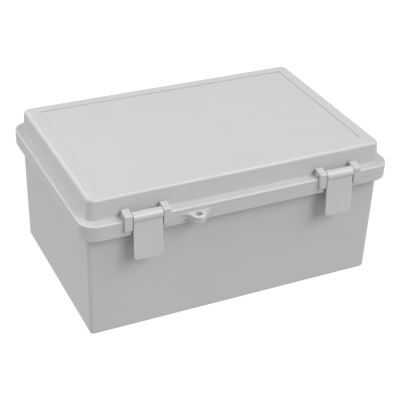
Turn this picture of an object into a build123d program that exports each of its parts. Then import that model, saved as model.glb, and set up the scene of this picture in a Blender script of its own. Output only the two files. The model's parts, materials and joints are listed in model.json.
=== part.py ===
from build123d import *
import math
import os

# Hinged moulded enclosure. Millimetres. Origin: centre of the underside.
# +Z up, -Y is the front with the latches, +Y the back with the hinges.

os.makedirs("parts", exist_ok=True)

# ---------------------------------------------------------------- dimensions
FLANGE_X, FLANGE_Y, FLANGE_R = 280.0, 190.0, 14.0   # rim flange, both halves
HEIGHT = 130.0                                      # underside to lid top
Z_BASE_FLANGE = 97.7                                # underside of base flange
Z_BASE_TOP = 104.43                                 # top of base rim
Z_LID_BOTTOM = 104.57                               # bottom of lid rim
Z_LID_FLANGE = 111.5                                # top of lid flange
WALL = 3.2
FLOOR = 3.5
RIM_TOP_R, RIM_PART_R, RIM_UNDER_R = 1.1, 0.18, 0.6 # rim edges: top, parting line, underside

BASE_X0, BASE_Y0, BASE_R0 = 264.6, 169.2, 3.5       # base plan at the underside
BASE_X1, BASE_Y1, BASE_R1 = 266.8, 171.4, 3.9       # base plan under the flange
BASE_EDGE_R = 3.0

LID_X0, LID_Y0, LID_R0 = 266.8, 172.8, 6.8          # lid block plan at the flange
LID_X1, LID_Y1, LID_R1 = 263.7, 169.7, 5.8          # lid block plan at the top
LID_EDGE_R = 3.5
LID_FOOT_R = 0.6
LID_ROOF = 3.6
RECESS_X, RECESS_Y, RECESS_D = 240.0, 147.0, 0.5    # shallow panel on the lid top

SEAL_X, SEAL_Y, SEAL_R = 270.4, 172.8, 10.0         # centre line of the seal groove
SEAL_W, SEAL_DEPTH = 3.4, 3.4
SEAL_Z0 = 105.95                                    # underside of the seal
RIB_W, RIB_H = 1.6, 1.2                             # rib on the base rim

LATCH_X = 87.2                                      # latch centres, left and right
EAR_GAP, EAR_W = 26.2, 6.4                          # between ears, width of one ear
EAR_FRONT, EAR_BACK = -97.8, -87.6
EAR_TOP_FRONT, EAR_TOP_BACK = 116.5, 118.4
EAR_BOTTOM, EAR_BOTTOM_BACK = 102.8, -95.45         # the ears hang a little past the parting line
PIVOT_Y, PIVOT_Z = -94.2, 112.8                     # latch pivot
BARREL_R, BARREL_L = 4.4, 25.4
LATCH_PIN_R, LATCH_PIN_L = 1.5, 35.4
LATCH_BORE_R, EAR_BORE_R = 1.56, 1.54
PLATE_W, PLATE_T, PLATE_L = 24.8, 1.8, 37.4
PLATE_SET = 2.85                                    # plate front to pivot
LATCH_TILT = 4.0                                    # plate stands this far out at rest
HOOK_W, HOOK_TOP, HOOK_TIP = 16.0, 97.1, -90.7      # with the plate upright
LID_NOTCH_Y = -89.2
BASE_NOTCH_Y, BASE_NOTCH_W = -91.3, 26.4

EYE_X, EYE_Y, EYE_R = -45.0, -99.8, 3.4             # padlock eye
EYE_TIP_R, EYE_HALF = 6.2, 14.0
EYE_TOP, EYE_BOTTOM = 107.3, 102.0

HINGE_X = 84.0                                      # hinge centres, left and right
HINGE_Y, HINGE_Z = 100.0, 104.5                     # hinge axis
KNUCKLE_R = 4.5
LID_KNUCKLE_W, KNUCKLE_GAP, BASE_KNUCKLE_W = 16.0, 0.4, 8.0
HINGE_PIN_R, HINGE_PIN_L = 2.0, 31.2
LID_KNUCKLE_BORE, BASE_KNUCKLE_BORE = 2.06, 2.04

FOOT_X, FOOT_Y = 118.0, 70.0                        # fixing inserts, underside
FOOT_BOSS_R, FOOT_BOSS_TOP = 7.0, 13.0
FOOT_INSERT_R, FOOT_THREAD_R = 3.25, 2.1
PANEL_X, PANEL_Y = 104.0, 56.0                      # panel bosses
PANEL_BOSS_R, PANEL_Z = 5.5, 14.0
PANEL_INSERT_R, PANEL_THREAD_R = 2.6, 1.66
PANEL_SIZE_X, PANEL_SIZE_Y, PANEL_T = 228.0, 130.0, 2.0
SCREW_R, SCREW_HEAD_R, SCREW_HEAD_H, SCREW_L = 1.6, 4.0, 2.6, 8.0


# ------------------------------------------------------------------- helpers
def rrect(w, d, r, z):
    return Plane.XY.offset(z) * RectangleRounded(w, d, r)


def slab(w, d, r, z0, z1):
    return extrude(rrect(w, d, r, z0), z1 - z0)


def drafted(w0, d0, r0, z0, w1, d1, r1, z1):
    return loft([rrect(w0, d0, r0, z0), rrect(w1, d1, r1, z1)], ruled=True)


def boxed(x0, x1, y0, y1, z0, z1):
    return Pos((x0 + x1) / 2, (y0 + y1) / 2, (z0 + z1) / 2) * Box(x1 - x0, y1 - y0, z1 - z0)


def rod_x(x0, x1, y, z, r):
    return Pos((x0 + x1) / 2, y, z) * Rot(0, 90, 0) * Cylinder(r, x1 - x0)


def rod_z(x, y, z0, z1, r):
    return Pos(x, y, (z0 + z1) / 2) * Cylinder(r, z1 - z0)


def profile_x(points, x0, x1):
    """A closed outline of (y, z) points, drawn across from x0 to x1."""
    wire = Polyline([Vector(x0, y, z) for y, z in points], close=True)
    return extrude(make_face(wire), x1 - x0, dir=(1, 0, 0))


def level_edges(shape, z, inside=None, outside=None):
    """Edges lying at height z, sorted by how far out they are in plan."""
    found = []
    for e in shape.edges():
        b = e.bounding_box()
        if abs(b.min.Z - z) > 1e-3 or abs(b.max.Z - z) > 1e-3:
            continue
        c = e.center()
        ok = True
        if inside is not None:
            ok = abs(c.X) < inside[0] and abs(c.Y) < inside[1]
        if outside is not None:
            ok = abs(c.X) > outside[0] or abs(c.Y) > outside[1]
        if ok:
            found.append(e)
    return found


def save(shape, name):
    export_step(shape, "parts/" + name + ".step")
    print(name, round(shape.volume, 1), len(shape.solids()))


def eye_outline():
    """Plan of the padlock tab: concave flanks that run into a round tip."""
    a = EYE_HALF
    h = -95.0 - EYE_Y
    rf = (a * a + h * h - EYE_TIP_R ** 2) / (2 * (EYE_TIP_R + h))
    dx, dy = a, -(rf - h)
    n = math.hypot(dx, dy)
    tx, ty = EYE_TIP_R * dx / n, -h + EYE_TIP_R * dy / n
    ang = math.radians((90 + math.degrees(math.atan2(ty + rf, a - tx))) / 2)
    mx, my = a - rf * math.cos(ang), -rf + rf * math.sin(ang)
    y0 = -95.0

    def p(x, y):
        return (EYE_X + x, y0 + y)

    path = (ThreePointArc(p(-a, 0), p(-mx, my), p(-tx, ty))
            + ThreePointArc(p(-tx, ty), p(0, -h - EYE_TIP_R), p(tx, ty))
            + ThreePointArc(p(tx, ty), p(mx, my), p(a, 0))
            + Polyline(p(a, 0), p(a, 2.5), p(-a, 2.5), p(-a, 0)))
    return make_face(path)


def eye_tab(z0, z1):
    tab = extrude(Plane.XY.offset(z0) * eye_outline(), z1 - z0)
    rim = [e for e in tab.edges()
           if e.bounding_box().size.Z < 1e-4 and e.bounding_box().min.Y < -95.5]
    return fillet(rim, 0.45)


# ---------------------------------------------------------------- base shell
base_outer = drafted(BASE_X0, BASE_Y0, BASE_R0, 0, BASE_X1, BASE_Y1, BASE_R1, Z_BASE_FLANGE + 0.5)
base_outer = fillet(level_edges(base_outer, 0), BASE_EDGE_R)
base_flange = slab(FLANGE_X, FLANGE_Y, FLANGE_R, Z_BASE_FLANGE, Z_BASE_TOP)

# The rim is cut away under each latch so that the hook can pass.
for s in (-1, 1):
    cx = s * LATCH_X
    base_flange -= boxed(cx - BASE_NOTCH_W / 2, cx + BASE_NOTCH_W / 2, -97, BASE_NOTCH_Y, 97, 106)
uprights = [e for e in base_flange.edges()
            if e.bounding_box().size.Z > 5 and e.center().Y < -91 and abs(abs(e.center().X) - LATCH_X) < 15
            and e.bounding_box().size.X < 1e-3 and e.center().Y < -94]
base_flange = fillet(uprights, 1.2)
base_flange = fillet(level_edges(base_flange, Z_BASE_FLANGE), RIM_UNDER_R)
base_flange = fillet(level_edges(base_flange, Z_BASE_TOP), RIM_PART_R)

base_shell = base_outer + base_flange
cavity = drafted(BASE_X0 - 2 * WALL, BASE_Y0 - 2 * WALL, 3.0, FLOOR,
                 BASE_X1 - 2 * WALL, BASE_Y1 - 2 * WALL, 3.6, Z_BASE_TOP + 2)
cavity = fillet(level_edges(cavity, FLOOR), 2.4)
base_shell -= cavity

for sx in (-1, 1):
    for sy in (-1, 1):
        base_shell += rod_z(sx * FOOT_X, sy * FOOT_Y, 2.0, FOOT_BOSS_TOP, FOOT_BOSS_R)
        base_shell += rod_z(sx * PANEL_X, sy * PANEL_Y, 2.0, PANEL_Z, PANEL_BOSS_R)
for sx in (-1, 1):
    for sy in (-1, 1):
        base_shell -= rod_z(sx * FOOT_X, sy * FOOT_Y, -1, 10.5, FOOT_INSERT_R)
        base_shell -= rod_z(sx * PANEL_X, sy * PANEL_Y, 5.0, PANEL_Z + 1, PANEL_INSERT_R)

# Sealing rib round the rim.
base_shell += (slab(SEAL_X + RIB_W, SEAL_Y + RIB_W, SEAL_R + RIB_W / 2, Z_BASE_TOP - 0.5, Z_BASE_TOP + RIB_H)
               - slab(SEAL_X - RIB_W, SEAL_Y - RIB_W, SEAL_R - RIB_W / 2, Z_BASE_TOP - 1, Z_BASE_TOP + 3))

# Lower padlock tab.
base_shell += eye_tab(EYE_BOTTOM, Z_BASE_TOP)
base_shell -= rod_z(EYE_X, EYE_Y, EYE_BOTTOM - 1, Z_BASE_TOP + 1, EYE_R)

# Hinge knuckles on the base, a pair for each hinge.
for s in (-1, 1):
    hx = s * HINGE_X
    for k in (-1, 1):
        xa = hx + k * (LID_KNUCKLE_W / 2 + KNUCKLE_GAP)
        xb = xa + k * BASE_KNUCKLE_W
        x0, x1 = min(xa, xb), max(xa, xb)
        base_shell += profile_x([(94, Z_BASE_FLANGE + 1.2), (95.5, Z_BASE_FLANGE + 1.2), (102.4, 100.69),
                                 (100.0, Z_BASE_TOP), (94, Z_BASE_TOP)], x0, x1)
        base_shell += rod_x(x0, x1, HINGE_Y, HINGE_Z, KNUCKLE_R)
    base_shell -= rod_x(hx - 25, hx + 25, HINGE_Y, HINGE_Z, BASE_KNUCKLE_BORE)
save(base_shell, "base_shell")

# ----------------------------------------------------------------- lid shell
lid_flange = slab(FLANGE_X, FLANGE_Y, FLANGE_R, Z_LID_BOTTOM, Z_LID_FLANGE)
lid_block = drafted(LID_X0, LID_Y0, LID_R0, Z_LID_FLANGE, LID_X1, LID_Y1, LID_R1, HEIGHT)
lid_block = fillet(level_edges(lid_block, HEIGHT), LID_EDGE_R)
lid_shell = lid_flange + lid_block
lid_shell = fillet(level_edges(lid_shell, Z_LID_FLANGE, inside=(134.5, 88.5)), LID_FOOT_R)
lid_shell = fillet(level_edges(lid_shell, Z_LID_FLANGE, outside=(134.5, 90.0)), RIM_TOP_R)
lid_shell = fillet(level_edges(lid_shell, Z_LID_BOTTOM), RIM_PART_R)

recess = slab(RECESS_X, RECESS_Y, 1.5, HEIGHT - RECESS_D, HEIGHT + 2)
lid_shell -= recess

# Latch ears, then the gap for the barrel between them.
for s in (-1, 1):
    cx = s * LATCH_X
    for k in (-1, 1):
        xa = cx + k * EAR_GAP / 2
        xb = xa + k * EAR_W
        ear = profile_x([(EAR_FRONT, EAR_BOTTOM), (EAR_FRONT, EAR_TOP_FRONT), (EAR_BACK, EAR_TOP_BACK),
                         (EAR_BACK, Z_LID_FLANGE - 3), (-92, Z_LID_BOTTOM), (EAR_BOTTOM_BACK, Z_LID_BOTTOM),
                         (EAR_BOTTOM_BACK, EAR_BOTTOM)], min(xa, xb), max(xa, xb))
        ear = fillet([e for e in ear.edges() if e.center().Z > Z_LID_FLANGE or e.center().Y < EAR_FRONT + 1], 0.7)
        lid_shell += ear
    lid_shell -= boxed(cx - EAR_GAP / 2, cx + EAR_GAP / 2, -97, LID_NOTCH_Y, Z_LID_BOTTOM - 1, Z_LID_FLANGE + 0.8)
    lid_shell -= rod_x(cx - 25, cx + 25, PIVOT_Y, PIVOT_Z, EAR_BORE_R)

lid_cavity = drafted(LID_X0 - 2 * WALL, LID_Y0 - 2 * WALL - 0.8, 5.0, Z_LID_BOTTOM - 2,
                     LID_X1 - 2 * WALL - 0.4, LID_Y1 - 2 * WALL, 5.0, HEIGHT - LID_ROOF)
lid_cavity = fillet(level_edges(lid_cavity, HEIGHT - LID_ROOF), 1.6)
lid_shell -= lid_cavity
lid_shell -= (slab(SEAL_X + SEAL_W, SEAL_Y + SEAL_W, SEAL_R + SEAL_W / 2, Z_LID_BOTTOM - 1, Z_LID_BOTTOM + SEAL_DEPTH)
              - slab(SEAL_X - SEAL_W, SEAL_Y - SEAL_W, SEAL_R - SEAL_W / 2, Z_LID_BOTTOM - 2, Z_LID_BOTTOM + SEAL_DEPTH + 1))

# Upper padlock tab.
lid_shell += eye_tab(Z_LID_BOTTOM, EYE_TOP)
lid_shell -= rod_z(EYE_X, EYE_Y, Z_LID_BOTTOM - 1, EYE_TOP + 1, EYE_R)

# Hinge knuckles on the lid.
for s in (-1, 1):
    hx = s * HINGE_X
    x0, x1 = hx - LID_KNUCKLE_W / 2, hx + LID_KNUCKLE_W / 2
    lid_shell += profile_x([(94, Z_LID_BOTTOM), (100.0, Z_LID_BOTTOM), (102.4, 108.31),
                            (95.6, Z_LID_FLANGE - 1.3), (94, Z_LID_FLANGE - 1.3)], x0, x1)
    lid_shell += rod_x(x0, x1, HINGE_Y, HINGE_Z, KNUCKLE_R)
    lid_shell -= rod_x(x0 - 1, x1 + 1, HINGE_Y, HINGE_Z, LID_KNUCKLE_BORE)
save(lid_shell, "lid_shell")

# ---------------------------------------------------------------------- seal
g = 0.06
seal = (slab(SEAL_X + SEAL_W - 2 * g, SEAL_Y + SEAL_W - 2 * g, SEAL_R + SEAL_W / 2 - g, SEAL_Z0, Z_LID_BOTTOM + SEAL_DEPTH - g)
        - slab(SEAL_X - SEAL_W + 2 * g, SEAL_Y - SEAL_W + 2 * g, SEAL_R - SEAL_W / 2 + g, SEAL_Z0 - 1, HEIGHT))
seal = fillet(level_edges(seal, SEAL_Z0), 0.9)
save(seal, "lid_seal")

# -------------------------------------------------------------------- latches
for name, s in (("left", -1), ("right", 1)):
    cx = s * LATCH_X
    z_end = PIVOT_Z - PLATE_L
    y_front, y_back = PIVOT_Y - PLATE_SET, PIVOT_Y - PLATE_SET + PLATE_T
    plate = boxed(cx - PLATE_W / 2, cx + PLATE_W / 2, y_front, y_back, z_end, PIVOT_Z)
    corners = [e for e in plate.edges() if e.bounding_box().size.Y > 1 and e.center().Z < z_end + 1]
    plate = fillet(corners, 3.4)
    rims = [e for e in plate.edges()
            if e.bounding_box().size.Y < 1e-3 and e.bounding_box().min.Z < PIVOT_Z - 0.5]
    plate = fillet(rims, 0.7)
    hook = profile_x([(y_front + 1, HOOK_TOP), (HOOK_TIP - 0.5, HOOK_TOP), (HOOK_TIP, HOOK_TOP - 0.5),
                      (HOOK_TIP, HOOK_TOP - 1.6), (y_back, HOOK_TOP - 5.0), (y_front + 1, HOOK_TOP - 5.0)],
                     cx - HOOK_W / 2, cx + HOOK_W / 2)
    barrel = rod_x(cx - BARREL_L / 2, cx + BARREL_L / 2, PIVOT_Y, PIVOT_Z, BARREL_R)
    barrel = fillet(barrel.edges().filter_by(GeomType.CIRCLE), 0.7)
    latch = barrel + plate + hook
    latch -= rod_x(cx - 25, cx + 25, PIVOT_Y, PIVOT_Z, LATCH_BORE_R)
    latch = latch.rotate(Axis((0, PIVOT_Y, PIVOT_Z), (1, 0, 0)), -LATCH_TILT)
    save(latch, "latch_" + name)

    pin = rod_x(cx - LATCH_PIN_L / 2, cx + LATCH_PIN_L / 2, PIVOT_Y, PIVOT_Z, LATCH_PIN_R)
    pin = chamfer(pin.edges().filter_by(GeomType.CIRCLE), 0.3)
    save(pin, "latch_pin_" + name)

    hx = s * HINGE_X
    pin = rod_x(hx - HINGE_PIN_L / 2, hx + HINGE_PIN_L / 2, HINGE_Y, HINGE_Z, HINGE_PIN_R)
    pin = chamfer(pin.edges().filter_by(GeomType.CIRCLE), 0.4)
    save(pin, "hinge_pin_" + name)

# ---------------------------------------------------- mounting panel and brass
panel = slab(PANEL_SIZE_X, PANEL_SIZE_Y, 5.0, PANEL_Z, PANEL_Z + PANEL_T)
panel_inserts, panel_screws, foot_inserts = [], [], []
for sx in (-1, 1):
    for sy in (-1, 1):
        px, py = sx * PANEL_X, sy * PANEL_Y
        panel -= rod_z(px, py, PANEL_Z - 1, PANEL_Z + PANEL_T + 1, SCREW_R + 0.6)

        ins = rod_z(px, py, 5.6, PANEL_Z, PANEL_INSERT_R)
        ins -= rod_z(px, py, 9.0, 10.4, PANEL_INSERT_R + 1) - rod_z(px, py, 8.5, 11, PANEL_INSERT_R - 0.45)
        ins -= rod_z(px, py, 4, PANEL_Z + 1, PANEL_THREAD_R)
        panel_inserts.append(ins)

        z_head = PANEL_Z + PANEL_T
        head = rod_z(px, py, z_head, z_head + SCREW_HEAD_H, SCREW_HEAD_R)
        head = fillet([e for e in head.edges() if e.center().Z > z_head + 1], 1.2)
        screw = head + rod_z(px, py, z_head - SCREW_L, z_head + 0.2, SCREW_R)
        for turn in (0, 90):
            screw -= Pos(px, py, z_head + SCREW_HEAD_H - 0.6) * Rot(0, 0, turn + 20) * Box(4.4, 0.9, 2.0)
        panel_screws.append(screw)

        fx, fy = sx * FOOT_X, sy * FOOT_Y
        ins = rod_z(fx, fy, 0.2, 10.0, FOOT_INSERT_R)
        ins -= rod_z(fx, fy, 4.2, 5.8, FOOT_INSERT_R + 1) - rod_z(fx, fy, 4, 6, FOOT_INSERT_R - 0.5)
        ins -= rod_z(fx, fy, -1, 12, FOOT_THREAD_R)
        foot_inserts.append(ins)

save(panel, "mounting_panel")
save(Compound(children=panel_inserts), "panel_inserts")
save(Compound(children=panel_screws), "panel_screws")
save(Compound(children=foot_inserts), "foot_inserts")
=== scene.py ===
import json
import math

import bmesh
import bpy
from mathutils import Matrix, Vector

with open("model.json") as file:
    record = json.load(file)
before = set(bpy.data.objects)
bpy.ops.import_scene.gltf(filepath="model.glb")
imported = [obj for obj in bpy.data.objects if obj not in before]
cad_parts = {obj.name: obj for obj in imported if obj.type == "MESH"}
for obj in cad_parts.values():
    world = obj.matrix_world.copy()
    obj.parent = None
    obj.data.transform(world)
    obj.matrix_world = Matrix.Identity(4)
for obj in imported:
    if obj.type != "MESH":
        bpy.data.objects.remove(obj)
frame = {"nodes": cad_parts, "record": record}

scene = bpy.context.scene
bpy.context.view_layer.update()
nodes = frame["nodes"]


# ------------------------------------------------------------------ materials
class Mat:
    """A procedural material: a node tree with short helpers."""

    def __init__(self, name):
        self.mat = bpy.data.materials.new(name)
        self.mat.use_nodes = True
        self.tree = self.mat.node_tree
        self.tree.nodes.clear()
        self.out = self.add("ShaderNodeOutputMaterial")
        self.bsdf = self.add("ShaderNodeBsdfPrincipled")
        self.link(self.bsdf.outputs["BSDF"], self.out.inputs["Surface"])
        self.coord = self.add("ShaderNodeTexCoord").outputs["Object"]

    def add(self, kind, **props):
        node = self.tree.nodes.new(kind)
        for key, value in props.items():
            setattr(node, key, value)
        return node

    def link(self, a, b):
        self.tree.links.new(a, b)

    def put(self, socket, value):
        if isinstance(value, bpy.types.NodeSocket):
            self.link(value, socket)
        else:
            socket.default_value = value

    def set(self, **values):
        for key, value in values.items():
            self.put(self.bsdf.inputs[key.replace("_", " ")], value)

    def mapping(self, scale=(1, 1, 1), rotation=(0, 0, 0), vector=None):
        n = self.add("ShaderNodeMapping")
        self.link(vector or self.coord, n.inputs["Vector"])
        n.inputs["Scale"].default_value = scale
        n.inputs["Rotation"].default_value = rotation
        return n.outputs["Vector"]

    def noise(self, scale, detail=2.0, rough=0.5, vector=None, distortion=0.0):
        n = self.add("ShaderNodeTexNoise")
        self.link(vector or self.coord, n.inputs["Vector"])
        n.inputs["Scale"].default_value = scale
        n.inputs["Detail"].default_value = detail
        n.inputs["Roughness"].default_value = rough
        n.inputs["Distortion"].default_value = distortion
        return n.outputs["Fac"]

    def voronoi(self, scale, feature="F1", vector=None, output="Distance"):
        n = self.add("ShaderNodeTexVoronoi", feature=feature)
        self.link(vector or self.coord, n.inputs["Vector"])
        n.inputs["Scale"].default_value = scale
        return n.outputs[output]

    def math(self, op, a, b=None, clamp=False):
        n = self.add("ShaderNodeMath", operation=op, use_clamp=clamp)
        self.put(n.inputs[0], a)
        if b is not None:
            self.put(n.inputs[1], b)
        return n.outputs[0]

    def ramp(self, fac, lo, hi, a=0.0, b=1.0):
        n = self.add("ShaderNodeMapRange")
        self.link(fac, n.inputs["Value"])
        n.inputs["From Min"].default_value = lo
        n.inputs["From Max"].default_value = hi
        n.inputs["To Min"].default_value = a
        n.inputs["To Max"].default_value = b
        return n.outputs["Result"]

    def mix(self, fac, a, b):
        n = self.add("ShaderNodeMix", data_type="RGBA")
        self.put(n.inputs["Factor"], fac)
        self.put(n.inputs["A"], a)
        self.put(n.inputs["B"], b)
        return n.outputs["Result"]

    def bump(self, height, strength, distance, normal=None):
        n = self.add("ShaderNodeBump")
        n.inputs["Strength"].default_value = strength
        n.inputs["Distance"].default_value = distance
        self.link(height, n.inputs["Height"])
        if normal is not None:
            self.link(normal, n.inputs["Normal"])
        return n.outputs["Normal"]

    def edge(self, radius, samples=4):
        """0 on flat ground, up to 1 on sharp edges: how far a rounded normal leaves the true one."""
        bev = self.add("ShaderNodeBevel", samples=samples)
        bev.inputs["Radius"].default_value = radius
        geo = self.add("ShaderNodeNewGeometry")
        dot = self.add("ShaderNodeVectorMath", operation="DOT_PRODUCT")
        self.link(bev.outputs["Normal"], dot.inputs[0])
        self.link(geo.outputs["Normal"], dot.inputs[1])
        return self.ramp(dot.outputs["Value"], 1.0, 0.75), bev.outputs["Normal"]


    def crease(self, distance, samples=6, inside=False):
        """1 on open ground, towards 0 in inner corners (inside: on outer corners) within the distance."""
        n = self.add("ShaderNodeAmbientOcclusion", samples=samples, only_local=True, inside=inside)
        n.inputs["Distance"].default_value = distance
        return n.outputs["AO"]


def grey(v, tint=(1.0, 1.0, 1.0)):
    return (v * tint[0], v * tint[1], v * tint[2], 1.0)


def moulded_plastic(name, level, tint, parting=None, panel_shade_above=None):
    m = Mat(name)
    # slow drift of the pigment, faint flow streaks from the gate, fine speckle
    drift = m.noise(9.0, 3.0, 0.55)
    streak = m.noise(1.0, 4.0, 0.6, m.mapping((16.0, 60.0, 34.0)), 0.6)
    speck = m.noise(2600.0, 1.0, 0.5)
    tone = m.math("ADD", m.math("MULTIPLY", drift, 0.5), m.math("MULTIPLY", streak, 0.35))
    tone = m.math("ADD", tone, m.math("MULTIPLY", speck, 0.15))
    # edge mask on sharp and on rounded outer edges: it makes them a little smoother (real rub) and drives a painted
    # highlight that lightens their colour
    edge_mask, _ = m.edge(0.0006)
    edge_mask = m.math("MAXIMUM", edge_mask, m.ramp(m.crease(0.0012, inside=True), 0.95, 0.60))
    height = m.add("ShaderNodeSeparateXYZ")
    m.link(m.coord, height.inputs["Vector"])
    if parting is not None:
        # no painted edge highlight and no rub along the parting line
        off = m.math("ABSOLUTE", m.math("SUBTRACT", height.outputs["Z"], parting))
        edge_mask = m.math("MULTIPLY", edge_mask, m.ramp(off, 0.0006, 0.0011))
    if panel_shade_above is not None:
        # painted shade: a thin dark line in the inner corners of the shallow step of the lid panel, found by
        # occlusion; the lid top gets no painted edge highlight
        on_top = m.ramp(height.outputs["Z"], panel_shade_above, panel_shade_above + 0.0002)
        painted_panel_shade = m.math("MULTIPLY", on_top, m.ramp(m.crease(0.0022), 0.97, 0.45))
        edge_mask = m.math("MULTIPLY", edge_mask, m.ramp(on_top, 0.0, 1.0, 1.0, 0.0))
    body = m.mix(m.ramp(tone, 0.3, 0.7), grey(level * 0.975, tint), grey(level * 1.025, tint))
    # painted highlight: the colour is lightened along the outer edges
    body = m.mix(m.math("MULTIPLY", edge_mask, 0.7), body, grey(min(level * 1.42, 0.9), tint))
    # painted shade darkens the colour in the corners of the panel step
    if panel_shade_above is not None:
        body = m.mix(m.math("MULTIPLY", painted_panel_shade, 0.30), body, grey(level * 0.30, (1.0, 0.98, 0.95)))
    # satin spark texture: roughness wanders a little, edges are rubbed smoother
    rub = m.ramp(m.noise(70.0, 4.0, 0.6), 0.3, 0.7, 0.238, 0.262)
    rough = m.math("SUBTRACT", rub, m.math("MULTIPLY", edge_mask, 0.015))
    grain = m.noise(3600.0, 2.0, 0.55)
    peel = m.noise(85.0, 1.0, 0.4)
    normal = m.bump(peel, 0.035, 0.0004)
    normal = m.bump(grain, 0.05, 0.00005, normal)
    m.set(Base_Color=body, Roughness=rough, Normal=normal, IOR=1.5)
    return m.mat


def drawn_steel(name, level, axis):
    m = Mat(name)
    long = {"x": (30.0, 2400.0, 2400.0), "z": (2400.0, 2400.0, 30.0)}[axis]
    lines = m.noise(1.0, 3.0, 0.6, m.mapping(long))
    cloud = m.noise(160.0, 3.0, 0.55)
    col = m.mix(m.ramp(lines, 0.25, 0.75), grey(level * 0.84, (1.0, 0.99, 0.97)), grey(level * 1.06, (1.0, 1.0, 0.99)))
    rough = m.ramp(m.math("ADD", m.math("MULTIPLY", lines, 0.6), m.math("MULTIPLY", cloud, 0.4)), 0.25, 0.75, 0.22, 0.40)
    edge_mask, soft_normal = m.edge(0.0002)
    m.set(Base_Color=col, Metallic=1.0, Roughness=rough, Normal=m.bump(lines, 0.25, 0.00003, soft_normal))
    return m.mat


def galvanised(name):
    m = Mat(name)
    cells = m.voronoi(120.0, output="Color")
    sep = m.add("ShaderNodeSeparateColor")
    m.link(cells, sep.inputs["Color"])
    facet = sep.outputs["Red"]
    roll = m.noise(1.0, 3.0, 0.6, m.mapping((30.0, 900.0, 900.0)))
    cloud = m.noise(22.0, 4.0, 0.6)
    tone = m.math("ADD", m.math("MULTIPLY", facet, 0.5), m.math("ADD", m.math("MULTIPLY", roll, 0.2), m.math("MULTIPLY", cloud, 0.3)))
    col = m.mix(m.ramp(tone, 0.2, 0.8), grey(0.50, (0.97, 0.99, 1.0)), grey(0.70, (0.98, 1.0, 1.0)))
    rough = m.ramp(tone, 0.2, 0.8, 0.30, 0.50)
    edge_mask, soft_normal = m.edge(0.0005)
    m.set(Base_Color=col, Metallic=1.0, Roughness=rough, Normal=m.bump(roll, 0.12, 0.00004, soft_normal))
    return m.mat


def zinc_plate(name):
    m = Mat(name)
    cloud = m.noise(420.0, 4.0, 0.6)
    fine = m.noise(3800.0, 2.0, 0.5)
    col = m.mix(m.ramp(cloud, 0.3, 0.7), grey(0.55, (0.96, 0.99, 1.0)), grey(0.68, (1.0, 1.0, 0.97)))
    edge_mask, soft_normal = m.edge(0.0003)
    rough = m.math("SUBTRACT", m.ramp(cloud, 0.3, 0.7, 0.26, 0.42), m.math("MULTIPLY", edge_mask, 0.08))
    m.set(Base_Color=col, Metallic=1.0, Roughness=rough, Normal=m.bump(fine, 0.12, 0.00003, soft_normal))
    return m.mat


def turned_brass(name):
    m = Mat(name)
    rings = m.noise(1.0, 2.0, 0.5, m.mapping((500.0, 500.0, 7000.0)))
    dull = m.noise(300.0, 4.0, 0.6)
    col = m.mix(m.ramp(dull, 0.35, 0.7), (0.60, 0.43, 0.17, 1.0), (0.78, 0.61, 0.29, 1.0))
    edge_mask, soft_normal = m.edge(0.0002)
    rough = m.ramp(dull, 0.3, 0.7, 0.24, 0.42)
    m.set(Base_Color=col, Metallic=1.0, Roughness=rough, Normal=m.bump(rings, 0.2, 0.00003, soft_normal))
    return m.mat


def foam_seal(name):
    m = Mat(name)
    pores = m.voronoi(2300.0)
    skin = m.noise(240.0, 4.0, 0.6)
    col = m.mix(m.ramp(skin, 0.3, 0.7), grey(0.028), grey(0.055))
    col = m.mix(m.ramp(pores, 0.10, 0.30, 0.5, 0.0), col, grey(0.012))
    m.set(Base_Color=col, Roughness=m.ramp(skin, 0.3, 0.7, 0.66, 0.82), Normal=m.bump(pores, 0.35, 0.00012))
    return m.mat


TINT = (1.0, 1.0, 0.992)
LEVEL = 0.56
WORLD_LOW, WORLD_HIGH = 0.52, 0.22
# name, azimuth, height, spread, strength
LAMPS = (
    ("key", 22.0, 36.0, 30.0, 1.13),
    ("key_high", 36.0, 50.0, 12.0, 0.28),
    ("right_soft", 68.0, 42.0, 40.0, 0.98),
    ("back_soft", 202.0, 42.0, 60.0, 1.14),
    ("left_top", 270.0, 70.0, 40.0, 0.78),
    ("left_low", 270.0, 12.0, 40.0, 0.56),
    ("back_low", 225.0, 12.0, 40.0, 0.32),
)
finish = {
    "base_plastic": moulded_plastic("base_plastic_look", LEVEL, TINT, 0.1045),
    "lid_plastic": moulded_plastic("lid_plastic_look", LEVEL, TINT, 0.1045, 0.1285),
    "latch_plastic": moulded_plastic("latch_plastic_look", LEVEL * 1.02, TINT),
    "seal": foam_seal("seal_look"),
    "stainless": drawn_steel("stainless_look", 0.58, "x"),
    "panel_steel": galvanised("panel_steel_look"),
    "screw_steel": zinc_plate("screw_steel_look"),
    "brass": turned_brass("brass_look"),
}
for part in frame["record"]["subparts"]:
    obj = nodes[part["node"]]
    obj.data.materials.clear()
    obj.data.materials.append(finish[part["material_slot"]])

# ------------------------------------------------------------- floor and light
def plain_mesh(name, verts, faces):
    bm = bmesh.new()
    ring = [bm.verts.new(v) for v in verts]
    for face in faces:
        bm.faces.new([ring[i] for i in face])
    me = bpy.data.meshes.new(name)
    bm.to_mesh(me)
    bm.free()
    ob = bpy.data.objects.new(name, me)
    scene.collection.objects.link(ob)
    return ob


def paper(name, base, glow):
    m = Mat(name)
    tone = m.noise(3.0, 2.0, 0.5)
    m.set(Base_Color=m.mix(tone, grey(base * 0.99), grey(base)), Roughness=0.9, Specular_IOR_Level=0.0,
          Emission_Color=(1.0, 1.0, 1.0, 1.0), Emission_Strength=glow)
    return m.mat


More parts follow.
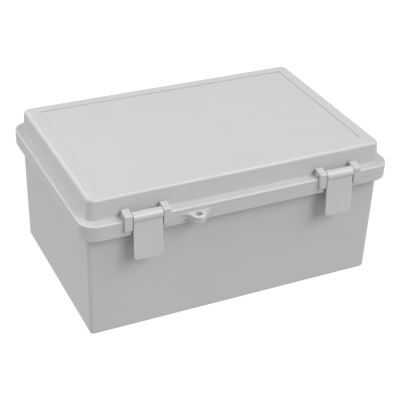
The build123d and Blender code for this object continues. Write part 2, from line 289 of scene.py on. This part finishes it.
# a lit paper sweep: a flat floor with an upright wall all around it
S = 6.0
SIDES = 48
circle = [(S * math.cos(2 * math.pi * k / SIDES), S * math.sin(2 * math.pi * k / SIDES)) for k in range(SIDES)]
floor = plain_mesh("floor", [(x, y, -0.0002) for x, y in circle], [range(SIDES)])
floor.data.materials.append(paper("floor_paper", 0.10, 0.94))
wall = plain_mesh(
    "backdrop",
    [(x, y, -0.0002) for x, y in circle] + [(x, y, 5.0) for x, y in circle],
    [(k, k + SIDES, (k + 1) % SIDES + SIDES, (k + 1) % SIDES) for k in range(SIDES)],
)
wall.data.materials.append(paper("backdrop_paper", 0.10, 0.98))
for ob in (floor, wall):
    ob.visible_diffuse = False
    ob.visible_glossy = False
    ob.visible_transmission = False
wall.visible_shadow = False
floor.visible_shadow = False

# soft light from all around, stronger from below, as over a white table
world = bpy.data.worlds.new("studio")
scene.world = world
world.use_nodes = True
wt = world.node_tree
bg = wt.nodes["Background"]
bg.inputs["Color"].default_value = (1.0, 1.0, 1.0, 1.0)
coord = wt.nodes.new("ShaderNodeTexCoord")
split = wt.nodes.new("ShaderNodeSeparateXYZ")
level = wt.nodes.new("ShaderNodeMapRange")
wt.links.new(coord.outputs["Generated"], split.inputs["Vector"])
wt.links.new(split.outputs["Z"], level.inputs["Value"])
level.inputs["From Min"].default_value = -0.02
level.inputs["From Max"].default_value = 0.02
level.inputs["To Min"].default_value = WORLD_LOW
level.inputs["To Max"].default_value = WORLD_HIGH
wt.links.new(level.outputs["Result"], bg.inputs["Strength"])


def lamp(name, azimuth, height, spread, strength):
    """A distant soft lamp; azimuth runs from the front towards the right, all angles in degrees."""
    light = bpy.data.lights.new(name, "SUN")
    light.energy = strength
    light.angle = math.radians(spread)
    ob = bpy.data.objects.new(name, light)
    scene.collection.objects.link(ob)
    az, el = math.radians(azimuth), math.radians(height)
    d = Vector((math.sin(az) * math.cos(el), -math.cos(az) * math.cos(el), math.sin(el)))
    ob.location = d * 3.0
    ob.rotation_euler = d.to_track_quat("Z", "Y").to_euler()
    return ob


rig = {args[0]: lamp(*args) for args in LAMPS}
# the low lamp on the left only fills, so that it leaves no glare on the lid
rig["left_low"].visible_glossy = False

# --------------------------------------------------------------------- camera
cam = bpy.data.cameras.new("camera")
cam.sensor_fit = "HORIZONTAL"
cam.sensor_width = 36.0
cam.lens = 95.554
cam.clip_start = 0.01
cam.clip_end = 50.0
cam_ob = bpy.data.objects.new("camera", cam)
scene.collection.objects.link(cam_ob)
right = Vector((0.90574946, -0.42261599, 0.03183786))
up = Vector((0.19432899, 0.48089482, 0.85497159))
back = Vector((-0.37663532, -0.76820303, 0.51769676))
pose = Matrix((right, up, back)).transposed().to_4x4()
pose.translation = (-0.358916, -0.741248, 0.551899)
cam_ob.matrix_world = pose
scene.camera = cam_ob

scene.view_settings.view_transform = "Standard"
scene.view_settings.look = "None"
scene.view_settings.exposure = 0.0
scene.view_settings.gamma = 1.0
